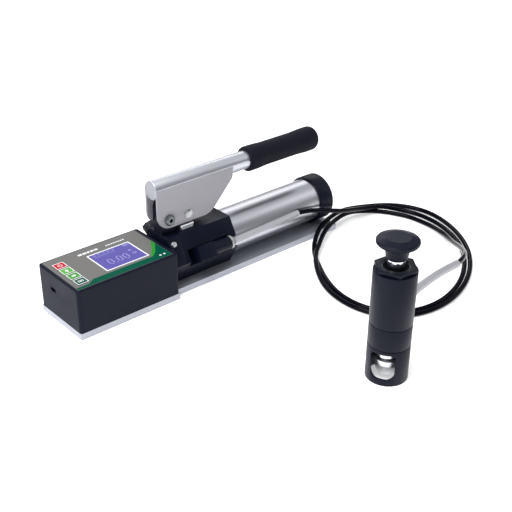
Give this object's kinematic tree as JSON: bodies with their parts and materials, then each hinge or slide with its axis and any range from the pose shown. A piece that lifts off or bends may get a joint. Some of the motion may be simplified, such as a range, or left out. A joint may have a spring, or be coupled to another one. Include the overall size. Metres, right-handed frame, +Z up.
{
  "type": "pull-off adhesion tester",
  "caption": "Portable hydraulic pull-off adhesion tester: hand pump with digital readout on a base plate, coiled hose and a pull-off head",
  "frame": {"origin": "centre of the base plate's underside, half way along its length and on the pump's mid-plane", "axes": "+X along the base plate from the readout's charging end to the reservoir cap; +Y to the pump's left, away from the hose and the pull-off head; +Z up, with the base plate and the pull-off head both standing on z = 0"},
  "size_m": [0.4784, 0.324, 0.1438],
  "materials": {
    "plate": "milled aluminium with a bright edge",
    "housing": "black anodised cast aluminium",
    "label": "printed matt film",
    "screen": "violet backlit display behind a clear window",
    "lcd": "moulded frame",
    "board": "green solder mask",
    "brass": "turned brass",
    "plain_black": "moulded black plastic",
    "battery": "shrink film",
    "steel": "zinc plated steel",
    "dark_steel": "oiled steel",
    "bright_steel": "polished steel",
    "chrome_part": "hard chrome",
    "key_red": "soft-touch film key",
    "key_light_green": "soft-touch film key",
    "key_green": "soft-touch film key",
    "key_dark_green": "soft-touch film key",
    "wire": "insulated wires",
    "anodised": "black anodised aluminium",
    "seal": "nitrile rubber",
    "tube": "ground stainless tube",
    "bar": "satin aluminium",
    "gusset": "bead-blasted steel plate",
    "foam": "closed-cell foam sleeve",
    "ferrule": "plated steel",
    "sleeve": "silver-grey protective sleeve",
    "hose": "glossy black thermoplastic"
  },
  "bodies": {
    "base": {"base_plate": "plate", "base_screws": "dark_steel", "readout_box": "housing", "readout_lid": "housing", "front_label": "label", "display_window": "screen", "lcd_module": "lcd", "circuit_board": "board", "board_standoffs": "brass", "tact_switches": "plain_black", "battery": "battery", "usb_socket": "steel", "pressure_sensor": "steel", "sensor_cable": "wire", "front_block": "anodised", "pump_block": "anodised", "bleed_screw": "bright_steel", "lever_post": "anodised", "pivot_bolt": "dark_steel", "pivot_nut": "steel", "gland_plate": "bright_steel", "plunger_seal": "seal", "check_balls": "bright_steel", "check_springs": "steel", "reservoir_tube": "tube", "reservoir_cap": "anodised", "reservoir_bladder": "seal", "filler_plug": "steel", "hose_elbow": "anodised", "elbow_ferrule": "ferrule", "pump_sleeve": "sleeve", "hose_lead": "hose", "hose_coil": "hose", "hose_tail": "hose", "head_sleeve": "sleeve", "head_port": "ferrule", "head_cylinder": "anodised", "head_ring": "anodised", "head_skirt": "anodised", "hex_cap": "anodised", "rod_guide": "chrome_part"},
    "lever": {"lever_bar": "bar", "gusset_right": "gusset", "gusset_left": "gusset", "foam_grip": "foam", "drive_pin": "steel", "pin_clips": "steel"},
    "plunger_unit": {"plunger": "bright_steel", "crosshead": "dark_steel"},
    "relief_valve": {"relief_knob": "plain_black", "relief_stem": "steel"},
    "head_piston": {"head_rod": "chrome_part", "head_knob": "anodised", "coupling_body": "bright_steel", "coupling_spring": "steel"},
    "collar": {"coupling_sleeve": "bright_steel"},
    "power_key": {"key_power": "key_red"},
    "up_key": {"key_up": "key_light_green"},
    "right_key": {"key_right": "key_green"},
    "set_key": {"key_set": "key_dark_green"}
  },
  "joints": [
    {"name": "lever_pivot", "type": "hinge", "parent": "base", "child": "lever", "pos_m": [-0.0505, 0, 0.0795], "axis": [0, -1, 0], "range_deg": [0, 40]},
    {"name": "plunger_slide", "type": "slide", "parent": "base", "child": "plunger_unit", "axis": [0, 0, 1], "range_m": [0, 0.0165]},
    {"name": "relief_turn", "type": "hinge", "parent": "base", "child": "relief_valve", "pos_m": [-0.0515, 0.01987, 0.05509], "axis": [0, 0.866, 0.5], "range_deg": [0, 180]},
    {"name": "piston_slide", "type": "slide", "parent": "base", "child": "head_piston", "axis": [0, 0, 1], "range_m": [-0.006, 0]},
    {"name": "collar_slide", "type": "slide", "parent": "head_piston", "child": "collar", "axis": [0, 0, 1], "range_m": [0, 0.002], "stiffness_N_per_m": 600, "springref_m": -0.002, "deforming": ["coupling_spring"]},
    {"name": "power_key_press", "type": "slide", "parent": "base", "child": "power_key", "axis": [0, 0, -1], "range_m": [0, 0.0004], "stiffness_N_per_m": 900, "springref_m": -0.0004},
    {"name": "up_key_press", "type": "slide", "parent": "base", "child": "up_key", "axis": [0, 0, -1], "range_m": [0, 0.0004], "stiffness_N_per_m": 900, "springref_m": -0.0004},
    {"name": "right_key_press", "type": "slide", "parent": "base", "child": "right_key", "axis": [0, 0, -1], "range_m": [0, 0.0004], "stiffness_N_per_m": 900, "springref_m": -0.0004},
    {"name": "set_key_press", "type": "slide", "parent": "base", "child": "set_key", "axis": [0, 0, -1], "range_m": [0, 0.0004], "stiffness_N_per_m": 900, "springref_m": -0.0004}
  ],
  "couplings": [
    {"joint": "plunger_slide", "follows": "lever_pivot", "m_per_rad": 0.0231}
  ]
}
